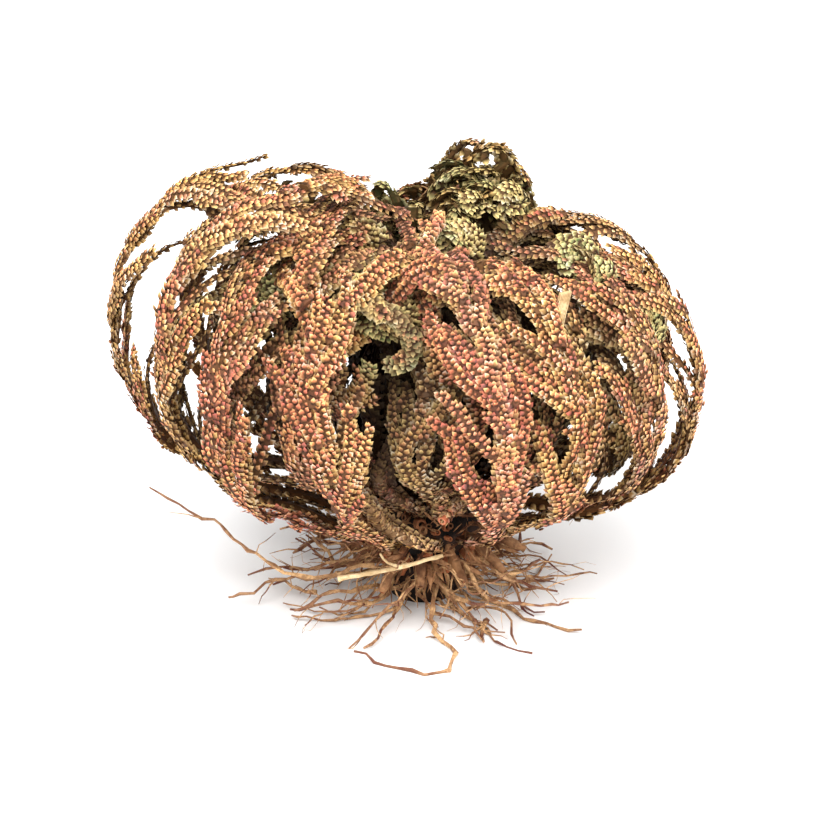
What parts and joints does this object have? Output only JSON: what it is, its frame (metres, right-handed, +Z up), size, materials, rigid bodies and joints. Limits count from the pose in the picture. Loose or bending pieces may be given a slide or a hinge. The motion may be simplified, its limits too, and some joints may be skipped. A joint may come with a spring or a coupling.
{
  "type": "dried resurrection plant",
  "caption": "Dried resurrection plant: scaly fronds curled inwards into an open ball over a knobbly crown with a spreading tuft of wiry roots.",
  "frame": {"origin": "centre of the flat foot below the crown, on the surface that the plant stands on", "axes": "+Z up through the crown, +X to the right and -Y towards the viewer of the side that the picture shows"},
  "size_m": [0.0807, 0.0656, 0.0647],
  "materials": {
    "tan_scales": "dry overlapping scale leaves, tan with pink patches, matte",
    "green_scales": "dry scale leaves of the inner fronds, olive green and tan, matte",
    "bare_stem": "bare broken stem, pinkish grey, finely pitted",
    "root_wood": "knobbly brown crown and wiry ochre roots, rough",
    "straw": "pale ribbed straw, dry satin"
  },
  "bodies": {
    "root": {"broken_frond_front": "bare_stem", "broken_frond_pointed": "bare_stem", "broken_frond_side": "bare_stem", "frond_front_curl": "green_scales", "frond_inner_01": "green_scales", "frond_inner_04": "green_scales", "frond_inner_05": "green_scales", "frond_inner_06": "green_scales", "frond_inner_08": "green_scales", "frond_inner_09": "green_scales", "frond_middle_01": "tan_scales", "frond_middle_02": "tan_scales", "frond_middle_03": "tan_scales", "frond_middle_05": "tan_scales", "frond_middle_06": "tan_scales", "frond_middle_07": "tan_scales", "frond_middle_08": "tan_scales", "frond_middle_09": "tan_scales", "frond_middle_10": "tan_scales", "frond_middle_11": "tan_scales", "frond_middle_12": "tan_scales", "frond_middle_13": "tan_scales", "frond_middle_14": "tan_scales", "frond_outer_01": "tan_scales", "frond_outer_02": "tan_scales", "frond_outer_03": "tan_scales", "frond_outer_04": "tan_scales", "frond_outer_06": "tan_scales", "frond_outer_07": "tan_scales", "frond_outer_08": "tan_scales", "frond_outer_09": "tan_scales", "frond_outer_10": "tan_scales", "frond_outer_11": "tan_scales", "frond_outer_12": "tan_scales", "frond_outer_13": "tan_scales", "frond_outer_14": "tan_scales", "frond_outer_15": "tan_scales", "frond_top_curl": "green_scales", "rootstock": "root_wood", "straw_blade": "straw"}
  },
  "joints": []
}
